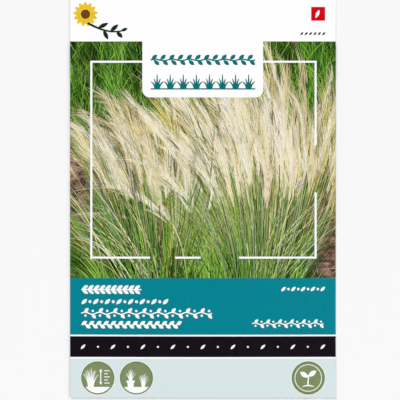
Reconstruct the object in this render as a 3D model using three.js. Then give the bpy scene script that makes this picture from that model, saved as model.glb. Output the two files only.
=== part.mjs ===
// Sealed paper seed packet, lying on its back with its printed front up.
// Millimetres, +Z up. +X is the packet's width, +Y runs from its bottom edge to its top edge.
// Origin: centre of the packet on the surface that it lies on.
//
// The envelope is one folded sheet. In the flat it is a cross: the front panel in the middle,
// a wing on each side that folds behind and laps over the other one, and a flap at the bottom
// and at the top that fold onto the back. Inside lies a folded glassine sachet with the seed.

import * as THREE from 'three';
import { mergeVertices } from 'three/addons/utils/BufferGeometryUtils.js';

// ---- driving dimensions -------------------------------------------------
const WIDTH = 110;            // packet, fold to fold
const HEIGHT = 165;           // packet, bottom fold to top fold
const PAPER = 0.12;           // paper thickness
const PLY_GAP = 0.06;         // between two plies that are glued or pressed together
const EDGE_LEVEL = 0.66;      // mid-surface of the front ply where it meets the folds
const BULGE = 2.5;            // how far the contents lift the front ply at most
const FLAP = 15;              // height of the bottom and top flaps
const FLAP_TAPER = 9;         // how much each flap narrows on each side
const LAP_INNER = 6;          // free edge of the inner (left) wing, past the centre line
const LAP_OUTER = -6;         // free edge of the outer (right) wing, past the centre line
const STEP = 2;               // width of the ramp where a ply climbs over another one
const GLUE = 0.03;            // thickness of an adhesive strip

const SACHET_WIDTH = 70;
const SACHET_HEIGHT = 98;
const SACHET_BOTTOM = -64;    // y of the sachet's bottom fold
const FILM = 0.05;            // glassine thickness
const SEAL_GAP = 0.05;        // between the sachet's plies along the sealed margins
const SACHET_BULGE = 1.6;     // how far the seed lifts the sachet's front ply

const SEED_COUNT = 40;
const SEED_BODY = 3.0;        // length of the floret
const SEED_RADIUS = 0.28;
const SEED_AWN = 4.2;         // awn stub left after cleaning
const SEED_SIDES = 6;

// ---- shared helpers ------------------------------------------------------
const smooth = (a, b, x) => {
  const t = Math.min(1, Math.max(0, (x - a) / (b - a)));
  return t * t * (3 - 2 * t);
};
const lerp = (a, b, t) => a + (b - a) * t;

// A sheet is a grid of points on two surfaces, one on each side of the sheet. Cells that are
// missing from the grid leave the sheet's outline, and a wall closes it all round.
function sheetGeometry(cols, rows, has, point) {
  const positions = [];
  const ids = new Map();
  const vertex = (i, j, side) => {
    const key = `${i},${j},${side}`;
    if (!ids.has(key)) {
      const p = point(i, j, side);
      ids.set(key, positions.length / 3);
      positions.push(p[0], p[1], p[2]);
    }
    return ids.get(key);
  };
  const index = [];
  const cell = (i, j) => i >= 0 && j >= 0 && i < cols && j < rows && has(i, j);
  for (let i = 0; i < cols; i++) {
    for (let j = 0; j < rows; j++) {
      if (!cell(i, j)) continue;
      const a = [i, j], b = [i + 1, j], c = [i + 1, j + 1], d = [i, j + 1];
      // outer side (1) winds one way, inner side (0) the other
      const v = (p, s) => vertex(p[0], p[1], s);
      index.push(v(a, 1), v(b, 1), v(c, 1), v(a, 1), v(c, 1), v(d, 1));
      index.push(v(a, 0), v(c, 0), v(b, 0), v(a, 0), v(d, 0), v(c, 0));
      const wall = (p, q) => index.push(v(p, 0), v(q, 0), v(q, 1), v(p, 0), v(q, 1), v(p, 1));
      if (!cell(i, j - 1)) wall(a, b);
      if (!cell(i + 1, j)) wall(b, c);
      if (!cell(i, j + 1)) wall(c, d);
      if (!cell(i - 1, j)) wall(d, a);
    }
  }
  const geometry = new THREE.BufferGeometry();
  geometry.setAttribute('position', new THREE.Float32BufferAttribute(positions, 3));
  geometry.setIndex(index);
  geometry.computeVertexNormals();
  return geometry;
}

// ---- envelope ------------------------------------------------------------
const MID = PAPER / 2;                       // mid-surface of the lowest ply
const PITCH = PAPER + PLY_GAP;               // one ply to the next
const halfW = WIDTH / 2;
const halfH = HEIGHT / 2;

// how far the contents lift the front ply
function frontLift(x, y) {
  const u = Math.min(1, Math.abs(x) / halfW);
  const v = Math.min(1, Math.abs(y) / halfH);
  const across = (1 - u * u) ** 1.3;
  const along = (1 - v * v) ** 1.05 * (1 - 0.42 * (y / halfH)) / 1.04;
  return BULGE * across * along;
}
const frontLevel = (x, y) => EDGE_LEVEL + frontLift(x, y);

// the back plies climb over each flap's end, and the inner wing over the outer one
const flapEdge = halfH - FLAP;
const overFlap = (y) => smooth(flapEdge - 0.6 - STEP, flapEdge - 0.6, Math.abs(y));
const wingLevel = (x, y, inner) => MID + PITCH * overFlap(y)
  + (inner ? PITCH * smooth(LAP_OUTER - 0.6 - STEP, LAP_OUTER - 0.6, x) : 0);

// columns across the wrap: inner wing, left fold, front, right fold, outer wing
const foldSteps = 4;
const innerX = [LAP_INNER, LAP_OUTER - 0.6, LAP_OUTER - 0.6 - STEP / 2, LAP_OUTER - 0.6 - STEP, -26, -42];
const frontS = [-1, -0.9, -0.78, -0.64, -0.49, -0.33, -0.165, 0, 0.165, 0.33, 0.49, 0.64, 0.78, 0.9, 1];
const outerX = [42, 24, 8, LAP_OUTER];
const columns = [];
for (const x of innerX) columns.push({ part: 'inner', x });
for (let k = 0; k < foldSteps; k++) columns.push({ part: 'foldL', t: k / foldSteps });
for (const s of frontS) columns.push({ part: 'front', s });
for (let k = 1; k <= foldSteps; k++) columns.push({ part: 'foldR', t: k / foldSteps });
for (const x of outerX) columns.push({ part: 'outer', x });
const firstFront = innerX.length + foldSteps;
const lastFront = firstFront + frontS.length - 1;

// rows up the packet: bottom flap, bottom fold, panel, top fold, top flap
const foldR = (EDGE_LEVEL - MID) / 2;        // fold of the flaps, from the front ply to the lowest ply
const foldY = halfH - MID - foldR;           // where the panel ends and the fold starts
const stepLow = flapEdge - 0.6 - STEP, stepHigh = flapEdge - 0.6;
const panelY = [-foldY, -76, -stepHigh, -(stepLow + STEP / 2), -stepLow, -56, -46, -35, -23, -10, 4, 18, 31, 43, 54,
  stepLow, stepLow + STEP / 2, stepHigh, 76, foldY];
const flapV = [0.34, 0.67, 1];               // along the flap, as a share of its flat height
const rows = [];
for (const v of [...flapV].reverse()) rows.push({ part: 'flapB', v });
rows.push({ part: 'flapB', v: 0 });
for (let k = foldSteps - 1; k > 0; k--) rows.push({ part: 'foldB', t: k / foldSteps });
for (const y of panelY) rows.push({ part: 'panel', y });
for (let k = 1; k < foldSteps; k++) rows.push({ part: 'foldT', t: k / foldSteps });
rows.push({ part: 'flapT', v: 0 });
for (const v of flapV) rows.push({ part: 'flapT', v });
const firstPanel = flapV.length + 1 + foldSteps - 1;
const lastPanel = firstPanel + panelY.length - 1;

function envelopePoint(i, j, side) {
  const c = columns[i];
  const r = rows[j];
  const out = side ? 1 : -1;                 // 1 is the sheet's outer (printed) face
  if (r.part === 'panel') {
    const y = r.y;
    const back = wingLevel(c.part === 'inner' || c.part === 'foldL' ? -halfW : halfW, y, false);
    const radius = (EDGE_LEVEL - back) / 2;
    const fx = halfW - MID - radius;         // x where the front panel ends and the side fold starts
    if (c.part === 'front') {
      const x = c.s * fx;
      const edge = Math.abs(c.s) === 1 || Math.abs(y) === foldY;
      return [x, y, (edge ? EDGE_LEVEL : frontLevel(x, y)) + out * MID];
    }
    if (c.part === 'foldL' || c.part === 'foldR') {
      // t runs 0..1 from the wing to the front on the left, from the front to the wing on the right
      const a = c.part === 'foldL' ? -Math.PI / 2 + Math.PI * c.t : Math.PI / 2 - Math.PI * c.t;
      const s = c.part === 'foldL' ? -1 : 1;
      const rr = radius + out * MID;
      return [s * (fx + rr * Math.cos(a)), y, back + radius + rr * Math.sin(a)];
    }
    return [c.x, y, wingLevel(c.x, y, c.part === 'inner') - out * MID];
  }
  // rows beyond the panel exist only under the front panel's columns
  const sy = r.part.endsWith('B') ? -1 : 1;
  const radius = foldR;
  const backAtCorner = wingLevel(halfW, halfH, false);
  const fx = halfW - MID - (EDGE_LEVEL - backAtCorner) / 2;
  const x = c.s * fx;
  if (r.part.startsWith('fold')) {
    // the same for both ends: t is 0 at the panel and 1 at the flap
    const a = Math.PI / 2 - Math.PI * r.t;
    const rr = radius + out * MID;
    return [x, sy * (foldY + rr * Math.cos(a)), MID + radius + rr * Math.sin(a)];
  }
  const length = foldY - flapEdge;
  return [c.s * (fx - FLAP_TAPER * r.v), sy * (foldY - length * r.v), MID - out * MID];
}
const envelopeHas = (i, j) => {
  const panelRow = j >= firstPanel && j < lastPanel;
  const frontColumn = i >= firstFront && i < lastFront;
  return panelRow || frontColumn;
};

const envelope = sheetGeometry(columns.length - 1, rows.length - 1, envelopeHas, envelopePoint);

// ---- adhesive strips -----------------------------------------------------
// A strip follows the ply below it, in the middle of the gap.
function stripGeometry(xs, ys, level) {
  return sheetGeometry(xs.length - 1, ys.length - 1, () => true, (i, j, side) =>
    [xs[i], ys[j], level(xs[i], ys[j]) + (side ? 1 : -1) * GLUE / 2]);
}
const seamYs = panelY.slice(2, panelY.length - 2);
const seamGlue = stripGeometry([-4.5, 4.5], seamYs, (x, y) => wingLevel(x, y, false) + MID + PLY_GAP / 2);
const flapGlueYs = (s) => [s * 79.5, s * 71].sort((a, b) => a - b);
const bottomGlue = stripGeometry([-40, 0, 40], flapGlueYs(-1), () => PAPER + PLY_GAP / 2);
const topGlue = stripGeometry([-40, 0, 40], flapGlueYs(1), () => PAPER + PLY_GAP / 2);

// ---- inner sachet --------------------------------------------------------
// One glassine sheet, folded at its bottom edge. Its plies meet along the sides and the top,
// where it is heat-sealed, and stand apart over the seed.
const sachetBase = MID + PITCH + MID + 0.06;           // underside of the sachet
const sHalfW = SACHET_WIDTH / 2;
const sFoldR = (SEAL_GAP + FILM) / 2;
function sachetLift(x, y) {
  const u = Math.min(1, Math.abs(x) / (sHalfW - 5));
  const t = (y - SACHET_BOTTOM) / SACHET_HEIGHT;         // 0 at the fold, 1 at the top
  const along = smooth(0, 0.12, t) * (1 - smooth(0.42, 0.9, t));
  return SACHET_BULGE * (1 - u ** 4) ** 1.2 * along;
}
const sXs = [-35, -30, -27, -22, -15, -7.5, 0, 7.5, 15, 22, 27, 30, 35];
const sYs = [0, 2, 5, 9, 14, 21, 29, 38, 47, 58, 70, 83, 90, SACHET_HEIGHT - sFoldR].map((d) => SACHET_BOTTOM + sFoldR + d);
const sRows = [];
for (const y of [...sYs].reverse()) sRows.push({ part: 'back', y });
for (let k = 1; k < 4; k++) sRows.push({ part: 'fold', t: k / 4 });
for (const y of sYs) sRows.push({ part: 'front', y });
const sachet = sheetGeometry(sXs.length - 1, sRows.length - 1, () => true, (i, j, side) => {
  const x = sXs[i];
  const r = sRows[j];
  const out = side ? 1 : -1;
  const low = sachetBase + FILM / 2;
  if (r.part === 'back') return [x, r.y, low - out * FILM / 2];
  if (r.part === 'front') return [x, r.y, low + 2 * sFoldR + sachetLift(x, r.y) + out * FILM / 2];
  const a = -Math.PI / 2 - Math.PI * r.t;
  const rr = sFoldR + out * FILM / 2;
  return [x, sYs[0] + rr * Math.cos(a), low + sFoldR + rr * Math.sin(a)];
});

// ---- seed ----------------------------------------------------------------
// A floret is a narrow spindle with a pointed callus at its base and an awn stub at its tip.
// The seeds lie loose in two layers near the sachet's bottom, in fixed scattered directions.
let state = 20417;
const random = () => {
  state = (state * 1664525 + 1013904223) % 4294967296;
  return state / 4294967296;
};
const seedProfile = [[0, 0], [0.09, 0.18], [0.23, 0.75], [SEED_RADIUS, 1.35], [0.2, 2.3], [0.085, SEED_BODY],
  [0.05, SEED_BODY + SEED_AWN * 0.5], [0, SEED_BODY + SEED_AWN]];
function seedGeometry(bend) {
  const geometry = new THREE.LatheGeometry(seedProfile.map(([r, y]) => new THREE.Vector2(r, y)), SEED_SIDES);
  geometry.deleteAttribute('normal');
  geometry.deleteAttribute('uv');
  const closed = mergeVertices(geometry, 1e-4);
  const p = closed.getAttribute('position');
  for (let k = 0; k < p.count; k++) {
    // the awn curves away to one side, in the plane that the seed lies in
    const s = Math.max(0, p.getY(k) - SEED_BODY * 0.8);
    p.setX(k, p.getX(k) + bend * s * s);
  }
  // drop the slivers that collapse to the axis
  const kept = [];
  const index = closed.getIndex();
  for (let k = 0; k < index.count; k += 3) {
    const [a, b, c] = [index.getX(k), index.getX(k + 1), index.getX(k + 2)];
    if (a !== b && b !== c && a !== c) kept.push(a, b, c);
  }
  closed.setIndex(kept);
  closed.computeVertexNormals();
  return closed;
}
const seedAxis = (x, y, angle, bend) => {
  const pts = [];
  for (let k = 0; k <= 8; k++) {
    const s = (SEED_BODY + SEED_AWN) * k / 8;
    const q = Math.max(0, s - SEED_BODY * 0.8);
    const side = bend * q * q;
    pts.push([x + Math.cos(angle) * side - Math.sin(angle) * s, y + Math.sin(angle) * side + Math.cos(angle) * s]);
  }
  return pts;
};
const seedLayers = [sachetBase + FILM + 0.36, sachetBase + FILM + 1.0];
const layerRoom = [[-23, 23, -54, -24], [-17, 17, -50, -30]];
const layerCount = [24, SEED_COUNT - 24];
const seeds = [];
for (let layer = 0; layer < 2; layer++) {
  const placed = [];
  let tries = 0;
  while (placed.length < layerCount[layer] && tries < 20000) {
    tries++;
    const [x0, x1, y0, y1] = layerRoom[layer];
    const x = lerp(x0, x1, random()), y = lerp(y0, y1, random());
    const angle = random() * Math.PI * 2, bend = (random() - 0.5) * 0.06;
    const axis = seedAxis(x, y, angle, bend);
    if (axis.some(([px, py]) => px < x0 - 1 || px > x1 + 1 || py < y0 - 3 || py > y1 + 3)) continue;
    const clear = placed.every((other) => other.axis.every(([ox, oy]) =>
      axis.every(([px, py]) => Math.hypot(ox - px, oy - py) > 1.15)));
    if (clear) placed.push({ x, y, z: seedLayers[layer], angle, bend, axis });
  }
  seeds.push(...placed);
}

// ---- assembly ------------------------------------------------------------
const coatedPaper = new THREE.MeshStandardMaterial({ color: 0xd9e5e6, roughness: 0.42, metalness: 0 });
const glueMaterial = new THREE.MeshStandardMaterial({ color: 0xe8dfc4, roughness: 0.5, metalness: 0 });
const glassine = new THREE.MeshStandardMaterial({ color: 0xeee9dc, roughness: 0.35, metalness: 0 });
const seedMaterial = new THREE.MeshStandardMaterial({ color: 0x9a7a4a, roughness: 0.75, metalness: 0 });

const packet = new THREE.Group();
const add = (name, geometry, material, parent = packet) => {
  const mesh = new THREE.Mesh(geometry, material.clone());
  mesh.name = name;
  parent.add(mesh);
  return mesh;
};
add('paper_envelope', envelope, coatedPaper);
add('back_seam_glue', seamGlue, glueMaterial);
add('bottom_flap_glue', bottomGlue, glueMaterial);
add('top_flap_glue', topGlue, glueMaterial);
add('inner_sachet', sachet, glassine);

const seedHeap = new THREE.Group();
packet.add(seedHeap);
seeds.forEach((seed, k) => {
  const mesh = add(`seed_${String(k + 1).padStart(2, '0')}`, seedGeometry(seed.bend), seedMaterial, seedHeap);
  mesh.position.set(seed.x, seed.y, seed.z);
  mesh.rotation.z = seed.angle;
});

export default packet;
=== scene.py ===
"""A sealed paper seed packet lying on its back, seen straight from above.

Lengths below are in millimetres in the part's own frame, and turn into metres when a mesh is made.
The printed grass is a picture of its own: tufts, plumes and ears drawn as thin ink shapes on the paper.
"""
import math

import bpy
import numpy as np
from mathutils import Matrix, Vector
from mathutils.geometry import delaunay_2d_cdt


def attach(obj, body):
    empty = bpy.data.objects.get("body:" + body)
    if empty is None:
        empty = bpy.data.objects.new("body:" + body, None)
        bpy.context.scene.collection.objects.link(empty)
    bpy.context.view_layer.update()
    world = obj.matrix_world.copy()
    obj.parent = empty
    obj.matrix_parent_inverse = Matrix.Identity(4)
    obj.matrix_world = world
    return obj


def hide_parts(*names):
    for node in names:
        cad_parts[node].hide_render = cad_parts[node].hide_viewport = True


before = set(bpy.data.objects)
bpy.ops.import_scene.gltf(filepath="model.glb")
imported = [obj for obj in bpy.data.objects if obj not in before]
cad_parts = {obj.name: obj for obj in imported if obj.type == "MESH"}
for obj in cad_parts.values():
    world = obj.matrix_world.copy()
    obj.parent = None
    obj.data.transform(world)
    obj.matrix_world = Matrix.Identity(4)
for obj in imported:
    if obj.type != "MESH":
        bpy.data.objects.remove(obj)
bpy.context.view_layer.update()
MM = 0.001

# ---------------------------------------------------------------- camera and light
PX = 0.41384                      # millimetres a pixel of the 400 x 400 frame
VIEW_CENTRE = (-1.200, -0.476)    # where the middle of the frame looks
LENS, SENSOR = 200.0, 36.0

cam_data = bpy.data.cameras.new("camera")
cam_data.lens, cam_data.sensor_width = LENS, SENSOR
cam_data.clip_start, cam_data.clip_end = 0.05, 60.0
camera = bpy.data.objects.new("camera", cam_data)
bpy.context.scene.collection.objects.link(camera)
reach = 400 * PX / 2 / (SENSOR / 2 / LENS)
camera.location = (VIEW_CENTRE[0] * MM, VIEW_CENTRE[1] * MM, (reach + 0.7) * MM)
camera.rotation_euler = (0, 0, 0)
bpy.context.scene.camera = camera
bpy.context.scene.view_settings.view_transform = "Standard"
bpy.context.scene.view_settings.look = "None"


def sun(name, azimuth, elevation, strength, angle, colour=(1, 1, 1)):
    data = bpy.data.lights.new(name, "SUN")
    data.energy, data.angle, data.color = strength, math.radians(angle), colour
    o = bpy.data.objects.new(name, data)
    bpy.context.scene.collection.objects.link(o)
    a, e = math.radians(azimuth), math.radians(elevation)
    towards = Vector((math.sin(a) * math.cos(e), -math.cos(a) * math.cos(e), math.sin(e)))
    o.rotation_euler = towards.to_track_quat("Z", "Y").to_euler()
    o.location = towards * 2
    return o


sun("key_light", -145, 48, 1.922, 40)
sun("fill_light", 60, 44, 1.563, 50)


def set_stops(color_ramp, stops):
    """Fill a new colour ramp: stops are (position, colour), lowest first."""
    stops = sorted(stops, key=lambda s: s[0])
    first, last = color_ramp.elements[0], color_ramp.elements[-1]
    first.position, first.color = stops[0][0], stops[0][1]
    last.position, last.color = 1.0, stops[-1][1]
    for p, c in stops[1:-1]:
        color_ramp.elements.new(p).color = c
    color_ramp.elements[-1].position = stops[-1][0]


# a horizon as pale as the floor, and above it a dimmer surround, darkest overhead, so that the ink stays deep from all sides
world = bpy.data.worlds.new("studio")
bpy.context.scene.world = world
world.use_nodes = True
wn, wl = world.node_tree.nodes, world.node_tree.links
w_coord = wn.new("ShaderNodeTexCoord")
w_split = wn.new("ShaderNodeSeparateXYZ")
w_ramp = wn.new("ShaderNodeValToRGB")
set_stops(w_ramp.color_ramp, [(p, (v, v, v, 1)) for p, v in ((0.0, 0.95), (0.045, 0.95), (0.12, 0.52), (0.30, 0.62), (0.50, 0.40), (0.80, 0.07), (1.0, 0.05))])
wl.new(w_coord.outputs["Generated"], w_split.inputs[0])
wl.new(w_split.outputs["Z"], w_ramp.inputs[0])
wl.new(w_ramp.outputs[0], wn["Background"].inputs["Color"])
wn["Background"].inputs["Strength"].default_value = 1.0

LIGHT, SHEEN = 1.045, 0.0030      # what the lights make of a white surface, and the sheen they add to a black one


# ---------------------------------------------------------------- colours and materials
def lin(r, g, b, a=1.0):
    """The paint that looks like this sRGB colour (0..255) under the studio light."""
    def f(c):
        c /= 255
        c = c / 12.92 if c <= 0.04045 else ((c + 0.055) / 1.055) ** 2.4
        return max(0.0, (c - SHEEN) / (LIGHT - SHEEN))
    return (f(r), f(g), f(b), a)


class Graph:
    """A material's node tree with one Principled shader."""

    def __init__(self, name, roughness=0.5, specular=0.12):
        self.mat = bpy.data.materials.new(name)
        self.mat.use_nodes = True
        self.nt = self.mat.node_tree
        self.nt.nodes.clear()
        self.out = self.nt.nodes.new("ShaderNodeOutputMaterial")
        self.bsdf = self.nt.nodes.new("ShaderNodeBsdfPrincipled")
        self.nt.links.new(self.bsdf.outputs[0], self.out.inputs[0])
        self.bsdf.inputs["Roughness"].default_value = roughness
        self.bsdf.inputs["Specular IOR Level"].default_value = specular
        self._mm = None

    def new(self, kind, **props):
        n = self.nt.nodes.new(kind)
        for k, v in props.items():
            setattr(n, k, v)
        return n

    def put(self, socket, value):
        if hasattr(value, "is_output"):
            self.nt.links.new(value, socket)
        else:
            socket.default_value = value

    def mm(self):
        """The piece's own coordinates, in millimetres."""
        if self._mm is None:
            coord = self.new("ShaderNodeTexCoord")
            scale = self.new("ShaderNodeVectorMath", operation="SCALE")
            self.put(scale.inputs[0], coord.outputs["Object"])
            scale.inputs["Scale"].default_value = 1000.0
            split = self.new("ShaderNodeSeparateXYZ")
            self.put(split.inputs[0], scale.outputs[0])
            self._mm = (scale.outputs[0], split.outputs[0], split.outputs[1], split.outputs[2])
        return self._mm

    def math(self, op, a, b=0.0, clamp=False):
        n = self.new("ShaderNodeMath", operation=op, use_clamp=clamp)
        self.put(n.inputs[0], a)
        self.put(n.inputs[1], b)
        return n.outputs[0]

    def step(self, value, a, b):
        """0 below a, 1 above b, smooth between."""
        n = self.new("ShaderNodeMapRange", interpolation_type="SMOOTHSTEP")
        self.put(n.inputs["Value"], value)
        n.inputs["From Min"].default_value, n.inputs["From Max"].default_value = a, b
        return n.outputs[0]

    def span(self, value, a, b, low, high):
        """value from a..b to low..high, held at both ends."""
        n = self.new("ShaderNodeMapRange")
        self.put(n.inputs["Value"], value)
        n.inputs["From Min"].default_value, n.inputs["From Max"].default_value = a, b
        n.inputs["To Min"].default_value, n.inputs["To Max"].default_value = low, high
        return n.outputs[0]

    def between(self, value, a, b):
        """1 from a to b, 0 outside."""
        return self.math("MULTIPLY", self.math("GREATER_THAN", value, a), self.math("LESS_THAN", value, b))

    def bands(self, value, lowest, steps):
        """Flat colours one above the other, with exact borders: steps are (border, colour above it), lowest first."""
        colour = lowest
        for border, above in steps:
            colour = self.mix(self.math("GREATER_THAN", value, border), colour, above)
        return colour

    def noise(self, scale, detail=2.0, rough=0.5, stretch=(1, 1, 1), turn=0.0, shift=(0, 0, 0), distortion=0.0):
        vector = self.mm()[0]
        n = self.new("ShaderNodeMapping")
        self.put(n.inputs[0], vector)
        n.inputs["Rotation"].default_value = (0, 0, math.radians(turn))
        n.inputs["Scale"].default_value = stretch
        n.inputs["Location"].default_value = shift
        t = self.new("ShaderNodeTexNoise")
        self.put(t.inputs["Vector"], n.outputs[0])
        t.inputs["Scale"].default_value = scale
        t.inputs["Detail"].default_value = detail
        t.inputs["Roughness"].default_value = rough
        t.inputs["Distortion"].default_value = distortion
        return t.outputs[0]

    def ramp(self, value, stops, kind="LINEAR"):
        n = self.new("ShaderNodeValToRGB")
        self.put(n.inputs[0], value)
        n.color_ramp.interpolation = kind
        set_stops(n.color_ramp, stops)
        return n.outputs[0]

    def mix(self, factor, a, b, mode="MIX"):
        n = self.new("ShaderNodeMix", data_type="RGBA", blend_type=mode)
        self.put(n.inputs[0], factor)
        self.put(n.inputs[6], a)
        self.put(n.inputs[7], b)
        return n.outputs[2]

    def colour(self, value):
        self.put(self.bsdf.inputs["Base Color"], value)

    def gloss(self, value, low, high):
        self.put(self.bsdf.inputs["Roughness"], self.span(value, 0.3, 0.7, low, high))

    def bump(self, height, strength, distance):
        b = self.new("ShaderNodeBump")
        b.inputs["Strength"].default_value = strength
        b.inputs["Distance"].default_value = distance
        self.put(b.inputs["Height"], height)
        self.nt.links.new(b.outputs[0], self.bsdf.inputs["Normal"])

    def paper_feel(self, bump=0.12, rough=(0.40, 0.50)):
        """Fine calendered fibre: a faint bump and a gloss that varies a little."""
        self.gloss(self.noise(0.35, 2, 0.5), *rough)
        self.bump(self.noise(2.2, 4, 0.6), bump, 0.00002)


# ---------------------------------------------------------------- the packet's shape, as in the CAD source
WIDTH, HEIGHT, PAPER, PLY_GAP = 110.0, 165.0, 0.12, 0.06
EDGE_LEVEL, BULGE, FLAP, FLAP_TAPER = 0.66, 2.47, 15.0, 9.0
LAP_INNER, LAP_OUTER, STEP = 6.0, -6.0, 2.0
MID, PITCH = PAPER / 2, PAPER + PLY_GAP
HALF_W, HALF_H = WIDTH / 2, HEIGHT / 2
FLAP_EDGE = HALF_H - FLAP
FOLD_R = (EDGE_LEVEL - MID) / 2
FOLD_Y = HALF_H - MID - FOLD_R


def smooth(a, b, x):
    t = np.clip((np.asarray(x, float) - a) / (b - a), 0, 1)
    return t * t * (3 - 2 * t)


def lift(x, y):
    """How far the contents lift the front ply, with a few soft waves from handling."""
    u2 = np.clip((x / HALF_W) ** 2, 0, 1)
    v2 = np.clip((y / HALF_H) ** 2, 0, 1)
    body = BULGE * (1 - u2) ** 1.3 * (1 - v2) ** 1.05 * (1 - 0.42 * y / HALF_H) / 1.04
    room = (1 - u2) * (1 - v2)
    waves = 0.085 * np.sin(0.083 * x + 0.051 * y + 0.7) + 0.06 * np.sin(-0.061 * x + 0.104 * y + 2.3) \
        + 0.035 * np.sin(0.147 * x - 0.032 * y + 4.4)
    return body + waves * room


def front_z(x, y):
    """The printed face of the front ply."""
    return EDGE_LEVEL + MID + lift(x, y)


def over_flap(y):
    return smooth(FLAP_EDGE - 0.6 - STEP, FLAP_EDGE - 0.6, np.abs(y))


def wing_level(x, y, inner):
    extra = PITCH * smooth(LAP_OUTER - 0.6 - STEP, LAP_OUTER - 0.6, x) if inner else 0.0
    return MID + PITCH * over_flap(y) + extra


def add_mesh(name, co, loops, totals, uv=None, mats=(), face_mat=None, smooth_shade=False):
    """A mesh object from flat arrays: vertices in mm, corner vertex indices, corners per face, a uv per vertex or corner."""
    me = bpy.data.meshes.new(name)
    co, loops, totals = np.asarray(co, float), np.asarray(loops, np.int32), np.asarray(totals, np.int32)
    me.vertices.add(len(co))
    me.vertices.foreach_set("co", (co * MM).astype(np.float32).ravel())
    me.loops.add(len(loops))
    me.loops.foreach_set("vertex_index", loops)
    me.polygons.add(len(totals))
    me.polygons.foreach_set("loop_start", np.concatenate([[0], np.cumsum(totals)[:-1]]).astype(np.int32))
    me.polygons.foreach_set("loop_total", totals)
    for m in mats:
        me.materials.append(m)
    if face_mat is not None:
        me.polygons.foreach_set("material_index", np.asarray(face_mat, np.int32))
    me.polygons.foreach_set("use_smooth", np.full(len(totals), smooth_shade))
    me.update(calc_edges=True)
    if uv is not None:
        uv = np.asarray(uv, float)
        layer = me.uv_layers.new(name="OFBake")
        corner = uv if len(uv) == len(loops) else uv[loops]
        layer.uv.foreach_set("vector", corner.astype(np.float32).ravel())
    me.validate()
    o = bpy.data.objects.new(name, me)
    bpy.context.scene.collection.objects.link(o)
    return o


# ---------------------------------------------------------------- paper
Y_HEAD, Y_PICT = 65.12, -32.79          # the picture's top and bottom
Y_TEAL, Y_RULE = -56.18, -56.84         # under the teal band, and where the dark one starts
Y_DARK, Y_RULE2 = -65.41, -66.10        # under the dark band, and where the pale one starts

WHITE = lin(255, 255, 255)
TEAL = lin(11, 132, 146)
DARK = lin(26, 21, 27)
PALE = lin(218, 231, 232)


def front_material():
    g = Graph("coated_paper_front", 0.30)
    p, x, y, z = g.mm()
    # the picture's ground: a hedge out of focus, shade between the stems, bare soil at both sides
    blotch = g.noise(0.085, 3, 0.55, (1, 1, 1), 0, (3, 7, 0), 0.6)
    fine = g.noise(0.34, 3, 0.6, (1.0, 0.45, 1), 14, (9, 2, 0), 0.3)
    streak = g.noise(0.55, 4, 0.65, (1.0, 0.10, 1), 4, (0, 0, 0), 0.2)
    f = g.math("ADD", g.math("MULTIPLY", blotch, 0.45), g.math("MULTIPLY", streak, 0.55))
    f = g.math("ADD", f, g.math("MULTIPLY", g.math("SUBTRACT", fine, 0.5), 0.45))
    low = g.ramp(f, [(0.30, lin(16, 30, 8)), (0.42, lin(34, 62, 16)), (0.52, lin(64, 100, 28)), (0.64, lin(102, 138, 48)),
                     (0.78, lin(150, 176, 84))])
    mid = g.ramp(f, [(0.30, lin(44, 56, 30)), (0.44, lin(88, 100, 52)), (0.55, lin(134, 136, 82)), (0.70, lin(184, 172, 122))])
    top = g.ramp(f, [(0.30, lin(8, 18, 6)), (0.42, lin(22, 50, 14)), (0.54, lin(48, 92, 26)), (0.68, lin(84, 134, 40)),
                     (0.82, lin(122, 160, 62))])
    wob = g.math("MULTIPLY", g.math("SUBTRACT", blotch, 0.5), 26.0)
    yy = g.math("ADD", y, wob)
    ground = g.mix(g.step(yy, -12, 12), low, mid)
    ground = g.mix(g.step(yy, 34, 46), ground, top)
    grain = g.noise(0.42, 4, 0.65, (0.45, 1.0, 1), 6, (5, 5, 0), 0.8)
    soil = g.ramp(grain, [(0.30, lin(28, 22, 24)), (0.43, lin(80, 60, 58)), (0.53, lin(130, 98, 82)), (0.64, lin(172, 138, 116)),
                          (0.78, lin(202, 172, 150))])
    for cx, cy, rx, ry in ((58.0, -14.0, 16.0, 28.0), (-58.0, 4.0, 12.0, 17.0)):
        sx = g.math("DIVIDE", g.math("SUBTRACT", x, cx), rx)
        sy = g.math("DIVIDE", g.math("SUBTRACT", y, cy), ry)
        d = g.math("ADD", g.math("MULTIPLY", sx, sx), g.math("MULTIPLY", sy, sy))
        d = g.math("ADD", d, g.math("MULTIPLY", g.math("SUBTRACT", blotch, 0.5), 1.8))
        ground = g.mix(g.step(d, 0.75, 1.30), soil, ground)
    g.colour(g.bands(y, PALE, [(Y_RULE2, WHITE), (Y_DARK, DARK), (Y_RULE, WHITE), (Y_TEAL, TEAL), (Y_PICT, ground), (Y_HEAD, WHITE)]))
    g.paper_feel(0.06, (0.27, 0.33))
    return g.mat


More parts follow.
